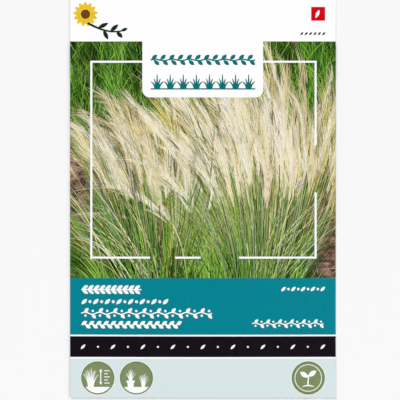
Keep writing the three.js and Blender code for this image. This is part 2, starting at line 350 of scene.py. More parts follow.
def back_material():
    """A plain back: a coloured strip, a year of twelve boxes for sowing and flowering, lines for the grower's notes."""
    g = Graph("coated_paper_back", 0.5)
    p, x, y, z = g.mm()
    bands = g.bands(y, PALE, [(-62.5, WHITE), (50.0, TEAL), (63.2, WHITE)])
    mottle = g.ramp(g.noise(0.5, 3, 0.5), [(0.3, (0.955, 0.955, 0.945, 1)), (0.7, (0.995, 0.995, 0.99, 1))])
    col = g.mix(1.0, bands, mottle, "MULTIPLY")
    # twelve boxes, 7.5 mm each, seen from behind: the year runs towards -X
    left = g.math("SUBTRACT", 45.0, x)
    cell = g.math("DIVIDE", left, 7.5)
    frac = g.math("FRACT", cell)
    for y0, a, b, tint in ((34.0, 2.0, 6.0, lin(128, 143, 100)), (28.0, 6.0, 9.0, lin(214, 190, 120))):
        span = g.between(y, y0, y0 + 4.6)
        row = g.math("MULTIPLY", span, g.between(x, -45.0, 45.0))
        fill = g.math("MULTIPLY", row, g.between(cell, a, b))
        col = g.mix(fill, col, tint)
        line = g.math("GREATER_THAN", g.math("ABSOLUTE", g.math("SUBTRACT", frac, 0.5)), 0.475)
        rim = g.math("LESS_THAN", g.math("ABSOLUTE", g.math("SUBTRACT", g.math("ABSOLUTE", g.math("SUBTRACT", y, y0 + 2.3)), 2.3)), 0.17)
        edge = g.math("MULTIPLY", g.between(y, y0 - 0.17, y0 + 4.77), g.between(x, -45.17, 45.17))
        col = g.mix(g.math("MULTIPLY", edge, g.math("MAXIMUM", line, rim)), col, TEAL)
    note = g.math("FRACT", g.math("DIVIDE", g.math("SUBTRACT", y, -46.0), 7.0))
    rules = g.math("MULTIPLY", g.math("LESS_THAN", note, 0.05), g.math("MULTIPLY", g.between(x, -45, 45), g.between(y, -46.5, -3.5)))
    g.colour(g.mix(rules, col, lin(150, 178, 180)))
    g.paper_feel(0.14, (0.48, 0.58))
    return g.mat


def raw_material():
    g = Graph("uncoated_paper", 0.85, 0.2)
    fibre = g.noise(1.6, 5, 0.65, (1, 0.5, 1), 20)
    g.colour(g.ramp(fibre, [(0.3, lin(236, 233, 226)), (0.7, lin(250, 248, 244))]))
    g.paper_feel(0.3, (0.8, 0.9))
    return g.mat


def packet_paper():
    n_fold = 8
    x_in = np.concatenate([[LAP_INNER, 2.0, -2.0], np.linspace(LAP_OUTER - 0.6, LAP_OUTER - 0.6 - STEP, 7),
                           np.linspace(-12, -52.5, 18)])
    x_out = np.concatenate([np.linspace(52.5, -3.0, 24), [LAP_OUTER]])
    s_front = np.linspace(-1, 1, 89)
    cols = [("inner", v) for v in x_in] + [("foldL", k / n_fold) for k in range(n_fold)] + [("front", s) for s in s_front] \
        + [("foldR", k / n_fold) for k in range(1, n_fold + 1)] + [("outer", v) for v in x_out]
    lo, hi = FLAP_EDGE - 0.6 - STEP, FLAP_EDGE - 0.6
    up = np.concatenate([np.linspace(0, lo, 53), np.linspace(lo, hi, 7)[1:], np.linspace(hi, FOLD_Y, 14)[1:]])
    ys = np.concatenate([-up[::-1], up[1:]])
    v_flap = np.linspace(0, 1, 9)
    rows = [("flapB", v) for v in v_flap[::-1]] + [("foldB", k / n_fold) for k in range(n_fold - 1, 0, -1)] \
        + [("panel", y) for y in ys] + [("foldT", k / n_fold) for k in range(1, n_fold)] + [("flapT", v) for v in v_flap]
    first_front = len(x_in) + n_fold
    last_front = first_front + len(s_front) - 1
    first_panel = len(v_flap) + n_fold - 1
    last_panel = first_panel + len(ys) - 1
    nc, nr = len(cols), len(rows)

    def point(c, r, side):
        """A corner of the sheet, and its place on the flat sheet as seen from the front and from the back."""
        out = 1 if side else -1
        if r[0] == "panel":
            y = r[1]
            back = float(wing_level(HALF_W, y, False))
            radius = (EDGE_LEVEL - back) / 2
            fx = HALF_W - MID - radius
            if c[0] == "front":
                x = c[1] * fx
                z = EDGE_LEVEL if abs(c[1]) == 1 or abs(y) == FOLD_Y else EDGE_LEVEL + float(lift(x, y))
                return (x, y, z + out * MID), (x, y), (x, y)
            if c[0] in ("foldL", "foldR"):
                a = -math.pi / 2 + math.pi * c[1] if c[0] == "foldL" else math.pi / 2 - math.pi * c[1]
                s = -1 if c[0] == "foldL" else 1
                rr = radius + out * MID
                return (s * (fx + rr * math.cos(a)), y, back + radius + rr * math.sin(a)), \
                    (s * (fx + rr * (math.pi / 2 - a)), y), (s * (fx + rr * (math.pi / 2 + a)), y)
            return (c[1], y, float(wing_level(c[1], y, c[0] == "inner")) - out * MID), (c[1], y), (c[1], y)
        sy = -1 if r[0].endswith("B") else 1
        fx = HALF_W - MID - (EDGE_LEVEL - float(wing_level(HALF_W, HALF_H, False))) / 2
        if r[0].startswith("fold"):
            a = math.pi / 2 - math.pi * r[1]
            rr = FOLD_R + out * MID
            x = c[1] * fx
            return (x, sy * (FOLD_Y + rr * math.cos(a)), MID + FOLD_R + rr * math.sin(a)), \
                (x, sy * (FOLD_Y + rr * (math.pi / 2 - a))), (x, sy * (FOLD_Y + rr * (math.pi / 2 + a)))
        x, y = c[1] * (fx - FLAP_TAPER * r[1]), sy * (FOLD_Y - (FOLD_Y - FLAP_EDGE) * r[1])
        return (x, y, MID - out * MID), (x, y), (x, y)

    has = np.zeros((nc - 1, nr - 1), bool)
    has[:, first_panel:last_panel] = True
    has[first_front:last_front, :] = True
    used = np.zeros((nc, nr), bool)
    for di in (0, 1):
        for dj in (0, 1):
            used[di:nc - 1 + di, dj:nr - 1 + dj] |= has
    ids = -np.ones((nc, nr, 2), int)
    co, flat = [], []
    for i in range(nc):
        for j in range(nr):
            if used[i, j]:
                for side in (0, 1):
                    ids[i, j, side] = len(co)
                    p, ahead, behind = point(cols[i], rows[j], side)
                    co.append(p)
                    flat.append((ahead, behind))
    loops, mat, uv = [], [], []

    def cell(i, j):
        return 0 <= i < nc - 1 and 0 <= j < nr - 1 and has[i, j]

    def place(v, kind, shift=0.0):
        """Front, back and inside each have their own part of the map."""
        (ax, ay), (bx, by) = flat[v]
        if kind == 0:
            return 0.330 + ax * 0.0057, 0.5 + ay * 0.0057
        if kind == 1:
            return 0.835 - bx * 0.0029, 0.62 + by * 0.0029
        return 0.72 + co[v][0] * 0.0002 + shift, 0.10 + co[v][1] * 0.0008

    for i in range(nc - 1):
        for j in range(nr - 1):
            if not has[i, j]:
                continue
            a, b, c, d = (i, j), (i + 1, j), (i + 1, j + 1), (i, j + 1)
            front = first_front - 4 <= i < last_front + 4 and first_panel - 4 <= j < last_panel + 4
            quad = [ids[p][1] for p in (a, b, c, d)]
            loops += quad
            mat.append(0 if front else 1)
            uv += [place(v, 0 if front else 1) for v in quad]
            quad = [ids[p][0] for p in (a, d, c, b)]
            loops += quad
            mat.append(2)
            uv += [place(v, 2) for v in quad]
            for p, q, away in ((a, b, (i, j - 1)), (b, c, (i + 1, j)), (c, d, (i, j + 1)), (d, a, (i - 1, j))):
                if not cell(*away):
                    quad = [ids[p][0], ids[q][0], ids[q][1], ids[p][1]]
                    loops += quad
                    mat.append(2)
                    uv += [place(quad[0], 2, 0.03), place(quad[1], 2, 0.034), place(quad[2], 2, 0.042), place(quad[3], 2, 0.038)]
    o = add_mesh("packet_paper", co, loops, np.full(len(loops) // 4, 4), uv,
                 [front_material(), back_material(), raw_material()], mat, True)
    # crisp cut edges, round folds
    o.data.set_sharp_from_angle(angle=math.radians(40))
    return o


paper = packet_paper()
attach(paper, "root")
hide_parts("paper_envelope")


# ---------------------------------------------------------------- flat print shapes
def ink(name, colour, spread=4, roughness=0.30):
    """Printing ink on coated paper: the colour with the faint unevenness of a solid area."""
    g = Graph(name, roughness)
    n = g.noise(0.9, 3, 0.55)
    lo = lin(*(max(0, c - spread) for c in colour))
    hi = lin(*(min(255, c + spread) for c in colour))
    g.colour(g.ramp(n, [(0.32, lo), (0.68, hi)]))
    g.gloss(g.noise(0.5, 2), roughness - 0.03, roughness + 0.03)
    return g.mat


class Print:
    """Flat shapes in the plane of the front (or the back), which then take the paper's shape."""

    def __init__(self, name, mats, height, back=False):
        self.name, self.mats, self.height, self.back = name, mats, height, back
        self.co, self.h, self.loops, self.totals, self.fm = [], [], [], [], []

    def face(self, pts, mat=0, h=0.0):
        base = len(self.co)
        pts = [(float(a), float(b)) for a, b in pts]
        area = sum(p[0] * q[1] - q[0] * p[1] for p, q in zip(pts, pts[1:] + pts[:1]))
        if area < 0:
            pts = pts[::-1]
        self.co += pts
        self.h += [h] * len(pts)
        self.loops += range(base, base + len(pts))
        self.totals.append(len(pts))
        self.fm.append(mat)

    def area(self, outline, mat=0, h=0.0, grid=1.5):
        """Any outline, cut into small triangles so that it can follow the paper."""
        pts = []
        for (ax, ay), (bx, by) in zip(outline, list(outline[1:]) + [outline[0]]):
            n = max(1, int(math.ceil(math.hypot(bx - ax, by - ay) / grid)))
            pts += [Vector((float(ax + (bx - ax) * k / n), float(ay + (by - ay) * k / n))) for k in range(n)]
        n = len(pts)
        xs, ys = [p.x for p in pts], [p.y for p in pts]
        extra = []
        for gx in np.arange(min(xs) + grid * 0.5, max(xs), grid):
            for gy in np.arange(min(ys) + grid * 0.5, max(ys), grid):
                extra.append(Vector((float(gx), float(gy))))
        out = delaunay_2d_cdt(pts + extra, [], [list(range(n))], 1, 1e-6)
        vs, faces = out[0], out[2]
        for f in faces:
            tri = [(vs[k].x, vs[k].y) for k in f]
            a = sum(p[0] * q[1] - q[0] * p[1] for p, q in zip(tri, tri[1:] + tri[:1]))
            if abs(a) > 1e-7:
                self.face(tri, mat, h)

    def stroke(self, pts, widths, mat=0, h=0.0):
        """A line of changing width. Its pieces are short, so that it follows the paper."""
        p = np.asarray(pts, float)
        w = np.broadcast_to(np.asarray(widths, float), (len(p),)) / 2
        d = np.gradient(p, axis=0)
        n = np.stack([-d[:, 1], d[:, 0]], 1) / np.maximum(np.linalg.norm(d, axis=1), 1e-9)[:, None]
        a, b = p + n * w[:, None], p - n * w[:, None]
        for k in range(len(p) - 1):
            if w[k] < 1e-6:
                self.face([a[k], b[k + 1], a[k + 1]], mat, h)
            elif w[k + 1] < 1e-6:
                self.face([a[k], b[k], a[k + 1]], mat, h)
            else:
                self.face([a[k], b[k], b[k + 1], a[k + 1]], mat, h)

    def line(self, p, q, w, mat=0, h=0.0, pitch=1.5):
        n = max(1, int(math.hypot(q[0] - p[0], q[1] - p[1]) / pitch))
        t = np.linspace(0, 1, n + 1)[:, None]
        self.stroke(np.asarray(p) * (1 - t) + np.asarray(q) * t, w, mat, h)

    def leaf(self, cx, cy, length, width, angle, mat=0, h=0.0, n=9, belly=0.5, blunt=0.85):
        """A pointed leaf with its base at (cx, cy), growing along angle (degrees from +X)."""
        t = np.linspace(0, 1, n)
        half = width / 2 * np.sin(np.pi * t ** (math.log(0.5) / math.log(belly))) ** blunt
        half[0] = half[-1] = 0
        ca, sa = math.cos(math.radians(angle)), math.sin(math.radians(angle))
        top = [(length * a, b) for a, b in zip(t, half)]
        low = [(length * a, -b) for a, b in zip(t[::-1], half[::-1])][1:-1]
        pts = [(cx + a * ca - b * sa, cy + a * sa + b * ca) for a, b in top + low]
        self.face(pts[::-1], mat, h)

    def disc(self, cx, cy, r, mat=0, h=0.0, n=48):
        ring = [(cx + r * math.cos(2 * math.pi * k / n), cy + r * math.sin(2 * math.pi * k / n)) for k in range(n)]
        if r < 1.2:
            self.face(ring[::2], mat, h)
        else:
            self.area(ring, mat, h)

    def ring(self, cx, cy, r, w, mat=0, h=0.0, n=64):
        for k in range(n):
            a, b = 2 * math.pi * k / n, 2 * math.pi * (k + 1) / n
            self.face([(cx + q * math.cos(e), cy + q * math.sin(e))
                       for q, e in ((r - w / 2, a), (r + w / 2, a), (r + w / 2, b), (r - w / 2, b))], mat, h)

    def tuft(self, cx, cy, height, spread, n, width, mat=0, h=0.0, droop=0.16, short=0.42, taper=0.55):
        """A small fan of grass blades, each lying a hair over the one before."""
        for k in range(n):
            s = (k / (n - 1) - 0.5) * 2 if n > 1 else 0
            tall = height * (1 - short * abs(s) ** 1.5) * (1.0 if k % 2 == 0 else 0.90)
            t = np.linspace(0, 1, 9)
            x = cx + s * width * 0.75 + s * spread * (0.30 * t + 0.70 * t ** 2.0)
            y = cy + tall * (t - droop * abs(s) * t ** 3)
            self.stroke(np.stack([x, y], 1), width * (1 - t) ** taper, mat, h + 0.0014 * k)

    def clump(self, cx, cy, height, reach, foot, n, width, seed, lean=0.0, mat=0, h=0.0):
        """A loose clump of thin blades that arch out over a close foot."""
        r = np.random.default_rng(seed)
        t = np.linspace(0, 1, 10)
        for k in range(n):
            s = (k + 0.5) / n * 2 - 1 + r.uniform(-0.06, 0.06)
            tall = height * (1 - 0.30 * abs(s) ** 2) * r.uniform(0.76, 1.0)
            for q, thick in ((1.0, width * (1 - 0.66 * t ** 1.3)), (r.uniform(0.5, 0.66), foot * 1.1 * (1 - t) ** 0.75)):
                u = t * q
                x = cx + foot * 0.8 * s + (s * reach + lean) * (0.45 * u + 0.55 * u ** 2)
                y = cy + tall * (u - 0.12 * abs(s) * u ** 3)
                self.stroke(np.stack([x, y], 1), thick, mat, h + 0.0012 * k + 0.0006 * (q < 1))

    def finish(self, slot="coated_paper"):
        co = np.asarray(self.co, float)
        h = self.height + np.asarray(self.h, float)
        if self.back:
            z = -0.4 * h
            loops, start = np.asarray(self.loops), 0
            turned = []
            for n in self.totals:
                turned += list(loops[start:start + n][::-1])
                start += n
            self.loops = turned
        else:
            z = front_z(co[:, 0], co[:, 1]) + h
        lo, hi = co.min(0), co.max(0)
        span = max(hi - lo) + 0.2
        uv = (co - (lo + hi) / 2) / span + 0.5
        o = add_mesh(self.name, np.column_stack([co, z]), self.loops, self.totals, uv, self.mats, self.fm, True)
        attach(o, "root")
        return o


INK_WHITE = ink("ink_white", (255, 255, 254), 1)
INK_TITLE = ink("ink_title_teal", (4, 114, 120), 3)
INK_RED = ink("ink_red", (212, 8, 22), 4)
INK_GREEN = ink("ink_green", (128, 144, 100), 5)
INK_MOSS = ink("ink_moss", (106, 124, 86), 7)
INK_HALO = ink("ink_halo", (228, 240, 228), 2)
INK_LEAF = ink("ink_leaf_dark", (28, 44, 26), 3)
INK_GREY = ink("ink_charcoal", (30, 30, 28), 3)
INK_GOLD = ink("ink_gold", (236, 196, 40), 6)
INK_BROWN = ink("ink_brown", (112, 70, 22), 6)

H_RULE, H_TAB, H_MARK = 0.058, 0.066, 0.010

# the inset rule round the picture, with the gaps where the grass stands in front of it
rule = Print("print_frame_rule", [INK_WHITE], H_RULE)
L, R, T, B, RW = -46.15, 46.63, 56.72, -24.28, 0.85
rule.line((L - RW / 2, T), (-24.5, T), RW)
rule.line((24.8, T), (R + RW / 2, T), RW)
rule.line((L, T), (L, B), RW, h=0.0008)
rule.line((R, T), (R, 22.1), RW, h=0.0008)
rule.line((R, 2.7), (R, B), RW, h=0.0008)
rule.line((L - RW / 2, B), (-21.8, B), RW)
rule.line((-11.5, B), (-0.9, B), RW)
rule.line((14.9, B), (R + RW / 2, B), RW)
rule.finish()


# the white tab that hangs from the header into the picture
def tab_outline(x0, x1, y0, y1, r):
    pts = [(x0, y1)]
    for k in range(13):
        a = math.pi + math.pi / 2 * k / 12
        pts.append((x0 + r + r * math.cos(a), y0 + r + r * math.sin(a)))
    for k in range(13):
        a = -math.pi / 2 + math.pi / 2 * k / 12
        pts.append((x1 - r + r * math.cos(a), y0 + r + r * math.sin(a)))
    pts.append((x1, y1))
    return pts


tab = Print("print_title_tab", [INK_WHITE], H_TAB)
tab.area(tab_outline(-25.04, 24.92, 41.92, Y_HEAD + 2.2, 3.2), grid=1.3)
tab.h = [-(H_TAB - 0.006) * float(smooth(Y_HEAD + 0.1, Y_HEAD + 1.9, y)) for x, y in tab.co]
tab.finish()

# a leafy garland and a row of tufts, where a packet of this kind has its title
title = Print("print_title_garland", [INK_TITLE], H_TAB + 0.010)
xs = np.linspace(-21.6, 21.6, 97)
title.stroke(np.stack([xs, 57.45 + 0.30 * np.sin((xs + 21.6) * 2 * math.pi / 7.2)], 1), 0.58)
for k in range(12):
    x = -21.3 + k * 3.6
    title.leaf(x, 57.45, 3.2, 1.6, 42, h=0.002, belly=0.55)
    title.leaf(x + 0.9, 57.45, 3.2, 1.6, -42, h=0.003, belly=0.55)
title.finish()

tufts = Print("print_title_tufts", [INK_TITLE], H_TAB + 0.010)
for k in range(8):
    cx = -18.9 + k * 5.4
    tufts.tuft(cx, 45.45, 6.3, 2.15, 5, 0.92, droop=0.22, short=0.38, taper=0.45)
tufts.line((-21.6, 45.45), (21.6, 45.45), 0.55, h=0.010)
tufts.finish()


# ornament rows on the teal band
def garland(p, x0, x1, y, size, kind, mat=0):
    w = size * 0.15
    length = x1 - x0
    if kind == "laurel":
        n = max(2, round(length / (size * 0.80)))
        pitch = length / (n + 0.45)
        p.line((x0, y), (x1 - pitch * 0.1, y), w, mat, 0.0, 1.2)
        for k in range(n):
            x = x0 + pitch * (k + 0.05)
            for s in (1, -1):
                p.leaf(x, y, size * 0.98, size * 0.42, 33 * s, mat, 0.002 + 0.001 * (s > 0), belly=0.6)
    elif kind == "grain":
        n = max(2, round(length / (size * 0.46)))
        pitch = length / (n + 0.6)
        for k in range(n):
            s = 1 if k % 2 == 0 else -1
            p.leaf(x0 + pitch * k, y - s * size * 0.06, size * 0.86, size * 0.46, 36 * s, mat, 0.0015 * (k % 3), belly=0.55)
    elif kind == "vine":
        n = max(2, round(length / (size * 0.92)))
        pitch = length / n
        xs = np.linspace(x0, x1, 8 * n + 1)
        p.stroke(np.stack([xs, y + size * 0.13 * np.sin((xs - x0) * math.pi / pitch)], 1), w, mat)
        for k in range(n):
            s = 1 if k % 2 == 0 else -1
            x = x0 + pitch * (k + 0.42)
            p.leaf(x, y + s * size * 0.08, size * 0.80, size * 0.44, 48 * s, mat, 0.002)
            p.disc(x + pitch * 0.16, y - s * size * 0.30, size * 0.155, mat, 0.003)
    else:
        n = max(2, round(length / (size * 0.78)))
        pitch = length / n
        for k in range(n):
            x = x0 + pitch * (k + 0.5)
            if k % 2 == 0:
                p.leaf(x - size * 0.36, y - size * 0.34, size * 1.0, size * 0.46, 44, mat)
            else:
                p.disc(x, y, size * 0.20, mat, 0.0)


rows = Print("print_band_garlands", [INK_WHITE], H_MARK)
garland(rows, -50.3, -25.2, -37.5, 3.2, "laurel")
garland(rows, -50.3, -14.2, -42.5, 3.1, "seeds")
garland(rows, -50.3, 3.8, -47.3, 3.2, "vine")
garland(rows, -50.3, -8.65, -52.05, 3.3, "grain")
garland(rows, 32.3, 50.6, -37.3, 2.6, "seeds")
garland(rows, 20.3, 49.9, -51.6, 2.7, "vine")
rows.finish()

seeds = Print("print_dark_band_seeds", [INK_WHITE], H_MARK)
for k in range(17):
    x = -49.6 + k * (99.2 / 16)
    if k % 2:
        seeds.disc(x, -61.2, 0.40)
    else:
        seeds.leaf(x - 0.95, -62.15, 2.7, 1.0, 45)
seeds.finish()

# roundels on the pale foot
ROUNDELS = ((-43.5, -74.1), (-27.5, -74.1), (43.6, -74.1))
round_back = Print("print_roundels", [INK_HALO, INK_GREEN, INK_MOSS], H_MARK)
for cx, cy in ROUNDELS:
    round_back.disc(cx, cy, 7.30, 0, 0.0, 72)
    round_back.disc(cx, cy, 6.84, 1, 0.010, 72)
    round_back.ring(cx, cy, 6.63, 0.40, 2, 0.014, 72)
round_back.finish()

signs = Print("print_roundel_signs", [INK_WHITE, INK_GREEN], H_MARK + 0.022)


def ground(p, cx, cy, r, top):
    """The part of a disc below a level."""
    a0 = math.asin((top - cy) / r)
    pts = [(cx + r * math.cos(a), cy + r * math.sin(a)) for a in np.linspace(math.pi - a0, 2 * math.pi + a0, 28)]
    p.area(pts, 0, 0.0, 1.2)


for cx, cy in ROUNDELS[:2]:
    ground(signs, cx, cy, 6.30, cy - 3.70)
cx, cy = ROUNDELS[0]
signs.clump(cx - 2.9, cy - 3.9, 8.9, 2.7, 0.92, 16, 0.33, 1, h=0.002)
signs.line((cx + 1.25, cy - 2.0), (cx + 1.25, cy + 2.9), 0.42, pitch=1.0, h=0.004)
for s, y in ((1, cy + 3.8), (-1, cy - 2.9)):
    signs.face([(cx + 1.25, y), (cx + 1.25 - 0.68, y - s * 1.15), (cx + 1.25 + 0.68, y - s * 1.15)], h=0.006)
for k, y in enumerate(np.linspace(cy - 2.1, cy + 3.0, 5)):
    signs.line((cx + 2.7, y), (cx + (4.9 if k % 2 == 0 else 4.1), y), 0.38, pitch=1.0, h=0.004)
cx, cy = ROUNDELS[1]
signs.clump(cx - 2.4, cy - 1.3, 5.2, 1.9, 0.46, 12, 0.28, 2, h=0.002)
signs.face([(cx - 4.15, cy - 1.05), (cx - 4.15, cy - 1.75), (cx - 0.65, cy - 1.75), (cx - 0.65, cy - 1.05)], h=0.020)
signs.face([(cx - 3.78, cy - 1.75), (cx - 3.58, cy - 3.80), (cx - 1.22, cy - 3.80), (cx - 1.02, cy - 1.75)], h=0.020)
signs.clump(cx + 2.8, cy - 3.9, 6.6, 1.9, 0.50, 11, 0.29, 8, lean=0.3, h=0.002)
cx, cy = ROUNDELS[2]
signs.ring(cx, cy, 5.50, 0.30)
signs.stroke([(cx, cy - 3.4), (cx - 0.15, cy - 1.8), (cx + 0.1, cy - 0.2), (cx, cy + 1.2)], [0.62, 0.56, 0.5, 0.42])
signs.leaf(cx, cy + 0.6, 4.1, 2.0, 36, h=0.002)
signs.leaf(cx, cy + 0.2, 4.1, 2.0, 146, h=0.004)
signs.stroke([(cx - 2.6, cy - 3.7), (cx - 1.2, cy - 3.25), (cx, cy - 3.15), (cx + 1.2, cy - 3.25), (cx + 2.6, cy - 3.7)],
             [0.1, 0.5, 0.6, 0.5, 0.1], h=0.004)
signs.finish()

# header: the small square and a row of seeds at the right, a plain flower sprig at the left
square = Print("print_red_square", [INK_RED], H_MARK)
square.area([(44.78, 73.71), (50.59, 73.71), (50.59, 79.43), (44.78, 79.43)], grid=1.4)
square.finish()
header = Print("print_header_marks", [INK_WHITE, INK_GREY, INK_GOLD, INK_LEAF, INK_BROWN], H_MARK)
header.leaf(46.62, 74.85, 3.7, 1.30, 64, 0, 0.010)
for k in range(6):
    header.leaf(40.3 + 1.82 * k, 67.75, 1.75, 0.78, 44, 1)
fx, fy = -48.6, 76.4
for k in range(13):
    a = 360 / 13 * k + 8
    header.leaf(fx + 1.3 * math.cos(math.radians(a)), fy + 1.3 * math.sin(math.radians(a)), 3.9, 1.75, a, 2, 0.0012 * (k % 4), belly=0.55)
header.disc(fx, fy, 1.95, 4, 0.012)
t = np.linspace(0, 1, 22)
sx, sy = fx + 0.9 + 14.2 * t, fy - 3.6 - 7.9 * t + 4.6 * t ** 2.4
header.stroke(np.stack([sx, sy], 1), 0.95 - 0.35 * t, 3, 0.006)
for s, side, size in ((0.30, 1, 4.8), (0.46, -1, 4.4), (0.66, 1, 4.4), (0.84, -1, 3.6)):
    x, y = fx + 0.9 + 14.2 * s, fy - 3.6 - 7.9 * s + 4.6 * s ** 2.4
    slope = math.degrees(math.atan2(-7.9 + 4.6 * 2.4 * s ** 1.4, 14.2))
    header.leaf(x, y, size, 1.7, slope + side * 48, 3, 0.009)
header.leaf(sx[-1] - 0.4, sy[-1] - 0.05, 3.0, 1.3, 22, 3, 0.009)
header.finish()

# the back: a garland on the coloured strip, and four plain growing signs between the calendar and the note lines
back_row = Print("print_back_garland", [INK_WHITE], H_MARK, back=True)
garland(back_row, -44.0, -12.0, 56.6, 4.4, "vine")
garland(back_row, -3.0, 44.4, 56.6, 4.4, "vine")
back_row.finish()
BACK_SIGNS = ((38.0, 12.6), (19.0, 12.6), (-19.0, 12.6), (-38.0, 12.6))
back_discs = Print("print_back_roundels", [INK_HALO, INK_GREEN], H_MARK, back=True)
for cx, cy in BACK_SIGNS:
    back_discs.disc(cx, cy, 7.30, 0, 0.0, 72)
    back_discs.disc(cx, cy, 6.79, 1, 0.010, 72)
back_discs.finish()
back_signs = Print("print_back_signs", [INK_WHITE, INK_GREEN], H_MARK + 0.022, back=True)
cx, cy = BACK_SIGNS[0]
back_signs.disc(cx, cy, 2.0)
for k in range(10):
    a = 2 * math.pi * k / 10
    back_signs.leaf(cx + 2.7 * math.cos(a), cy + 2.7 * math.sin(a), 2.3, 0.85, math.degrees(a))
cx, cy = BACK_SIGNS[1]
turn = np.linspace(-0.86, 0.86, 25) * math.pi
back_signs.area([(cx, cy + 4.3)] + [(cx + 2.35 * math.sin(a), cy - 1.3 - 2.35 * math.cos(a)) for a in turn[::-1]], grid=0.9)
cx, cy = BACK_SIGNS[2]
back_signs.stroke([(cx, cy - 3.5), (cx + 0.12, cy - 1.8), (cx - 0.05, cy - 0.2), (cx, cy + 1.0)], [0.62, 0.56, 0.5, 0.42])
back_signs.leaf(cx, cy + 0.5, 3.9, 1.9, 36, h=0.002)
back_signs.leaf(cx, cy + 0.1, 3.9, 1.9, 146, h=0.004)
back_signs.stroke([(cx - 2.8, cy - 3.7), (cx - 1.3, cy - 3.3), (cx, cy - 3.2), (cx + 1.3, cy - 3.3), (cx + 2.8, cy - 3.7)],
                  [0.1, 0.55, 0.65, 0.55, 0.1], h=0.004)
cx, cy = BACK_SIGNS[3]
back_signs.tuft(cx, cy - 0.6, 5.0, 2.9, 9, 0.60, h=0.004, taper=0.5)
back_signs.face([(cx - 1.9, cy - 0.45), (cx - 1.9, cy - 1.15), (cx + 1.9, cy - 1.15), (cx + 1.9, cy - 0.45)], h=0.020)
back_signs.face([(cx - 1.55, cy - 1.15), (cx - 1.15, cy - 4.0), (cx + 1.15, cy - 4.0), (cx + 1.55, cy - 1.15)], h=0.020)
back_signs.finish()


# ---------------------------------------------------------------- the printed grass
# each colour goes from root to tip of a blade, and comes in four tones from deep shade to full light
PALETTE = [
    ((30, 50, 18), (58, 88, 34)),        # 0 shade green
    ((34, 74, 20), (66, 118, 36)),       # 1 deep green
    ((52, 106, 26), (100, 158, 48)),     # 2 dark green
    ((74, 136, 34), (136, 186, 70)),     # 3 green
    ((94, 162, 42), (164, 208, 88)),     # 4 fresh green
    ((120, 172, 54), (198, 222, 116)),   # 5 yellow green
    ((146, 180, 98), (222, 230, 166)),   # 6 light green
    ((92, 124, 76), (164, 182, 132)),    # 7 sage
    ((40, 92, 58), (100, 148, 108)),     # 8 blue green
    ((132, 158, 112), (214, 220, 182)),  # 9 pale sage
    ((88, 104, 40), (184, 160, 100)),    # 10 dark straw
    ((92, 150, 46), (222, 202, 138)),    # 11 straw
    ((110, 170, 58), (248, 228, 176)),   # 12 light straw
    ((136, 182, 80), (255, 242, 208)),   # 13 cream
    ((200, 202, 150), (255, 247, 230)),  # 14 pale cream
    ((186, 178, 130), (252, 230, 206)),  # 15 blush
    ((140, 138, 86), (232, 206, 168)),   # 16 beige
    ((112, 150, 42), (232, 216, 118)),   # 17 gold
    ((96, 74, 54), (168, 132, 102)),     # 18 brown
    ((104, 88, 88), (176, 148, 138)),    # 19 mauve brown
    ((206, 214, 192), (253, 253, 242)),  # 20 highlight
    ((84, 84, 50), (140, 130, 88)),      # 21 straw shade
]
ROWS, TONES = len(PALETTE), ((0.11, 0.13, 0.09, 1), (0.42, 0.43, 0.34, 1), (0.79, 0.77, 0.70, 1), (1.0, 1.0, 1.0, 1))


def grass_material():
    g = Graph("print_grass", 0.31)
    uvn = g.new("ShaderNodeUVMap", uv_map="OFBake")
    split = g.new("ShaderNodeSeparateXYZ")
    g.put(split.inputs[0], uvn.outputs[0])
    u, v = split.outputs[0], split.outputs[1]
    root = g.ramp(v, [(k / ROWS, lin(*PALETTE[k][0])) for k in range(ROWS)], "CONSTANT")
    tip = g.ramp(v, [(k / ROWS, lin(*PALETTE[k][1])) for k in range(ROWS)], "CONSTANT")
    tone = g.ramp(u, [(k / 4, TONES[k]) for k in range(4)], "CONSTANT")
    along = g.math("FRACT", g.math("MULTIPLY", u, 4.0))
    across = g.math("FRACT", g.math("MULTIPLY", v, float(ROWS)))
    # one edge of a blade catches the light, the other turns away from it
    side = g.span(across, 0.3, 0.7, 1.07, 0.86)
    c = g.mix(1.0, g.mix(g.step(along, 0.0, 0.85), root, tip), tone, "MULTIPLY")
    scale = g.new("ShaderNodeVectorMath", operation="SCALE")
    g.put(scale.inputs[0], c)
    g.put(scale.inputs["Scale"], side)
    g.colour(scale.outputs[0])
    return g.mat


GRASS = grass_material()
BOX = (-54.9, 54.9, Y_PICT, Y_HEAD)
total_faces = {}


